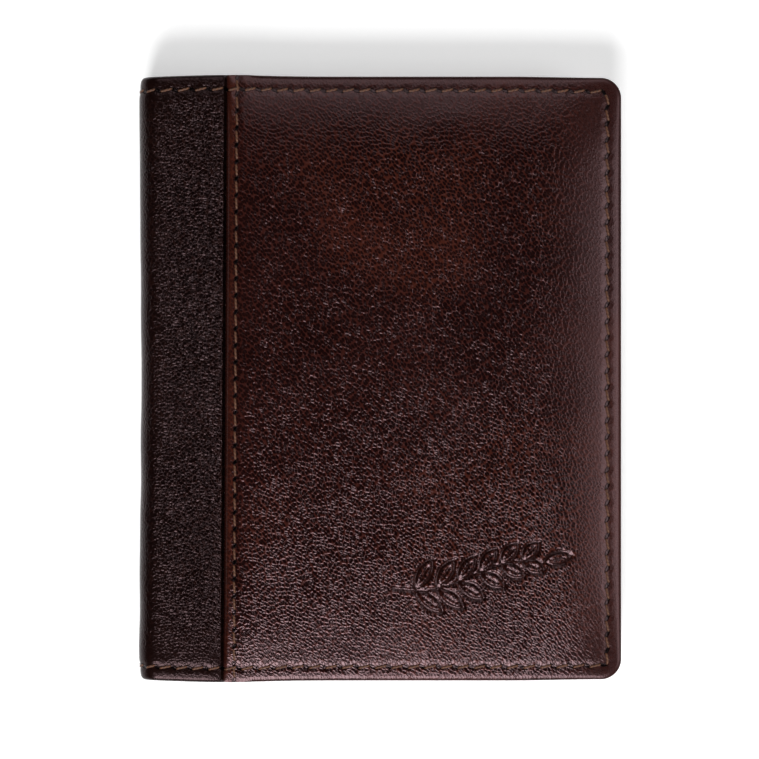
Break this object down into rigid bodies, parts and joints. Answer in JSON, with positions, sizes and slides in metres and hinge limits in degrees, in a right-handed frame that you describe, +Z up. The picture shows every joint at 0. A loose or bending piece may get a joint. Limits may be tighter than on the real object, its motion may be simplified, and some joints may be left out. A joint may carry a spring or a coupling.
{
  "type": "bifold wallet",
  "caption": "Slim upright bifold wallet in dark brown pebbled leather with a darker spine band, contrast stitching, stepped card pockets and a full-width note pocket; it opens at the spine.",
  "frame": {"origin": "middle of the closed wallet's footprint, on the surface it lies on", "axes": "+Z up out of the front cover, +Y towards the note pocket's mouth, -X towards the spine"},
  "size_m": [0.082, 0.1028, 0.0135],
  "materials": {
    "cover_leather": "dark brown pebble-grain leather, semi-gloss, smoother and lighter at the turned edges",
    "band_leather": "black-brown fine-grain leather, satin",
    "pocket_leather": "thin dark brown leather, satin, burnished edges",
    "lining": "dark brown twill lining",
    "padding": "off-white felt padding",
    "thread": "copper-brown waxed sewing thread"
  },
  "bodies": {
    "back": {"back_cover_leather": "cover_leather", "back_cover_padding": "padding", "back_cover_lining": "lining", "back_spine_band": "band_leather", "back_pocket_base": "pocket_leather", "back_card_pocket_1": "pocket_leather", "back_card_hem_1_outer": "pocket_leather", "back_card_hem_1_top": "pocket_leather", "back_card_hem_1_bottom": "pocket_leather", "back_card_stop_1": "thread", "back_card_pocket_2": "pocket_leather", "back_card_hem_2_outer": "pocket_leather", "back_card_hem_2_top": "pocket_leather", "back_card_hem_2_bottom": "pocket_leather", "back_note_hem_outer": "pocket_leather", "back_note_hem_bottom": "pocket_leather", "back_cover_stitching": "thread", "back_band_stitching": "thread", "back_pocket_stitching": "thread"},
    "front": {"front_cover_leather": "cover_leather", "front_cover_padding": "padding", "front_cover_lining": "lining", "front_spine_band": "band_leather", "front_pocket_base": "pocket_leather", "front_card_pocket_1": "pocket_leather", "front_card_hem_1_outer": "pocket_leather", "front_card_hem_1_top": "pocket_leather", "front_card_hem_1_bottom": "pocket_leather", "front_card_stop_1": "thread", "front_card_pocket_2": "pocket_leather", "front_card_hem_2_outer": "pocket_leather", "front_card_hem_2_top": "pocket_leather", "front_card_hem_2_bottom": "pocket_leather", "front_note_hem_outer": "pocket_leather", "front_note_hem_bottom": "pocket_leather", "front_cover_stitching": "thread", "front_band_stitching": "thread", "front_pocket_stitching": "thread"},
    "spine": {"spine_band_middle": "band_leather", "spine_lining": "lining", "spine_stitching_top": "thread", "spine_stitching_bottom": "thread"}
  },
  "joints": [
    {"name": "spine_fold", "type": "hinge", "parent": "back", "child": "spine", "pos_m": [-0.04006, 0, 0.00214], "axis": [0, -1, 0], "range_deg": [0, 90]},
    {"name": "cover_fold", "type": "hinge", "parent": "spine", "child": "front", "pos_m": [-0.04006, 0, 0.01134], "axis": [0, -1, 0], "range_deg": [0, 90]}
  ],
  "couplings": [
    {"joint": "cover_fold", "follows": "spine_fold", "ratio": 1}
  ]
}
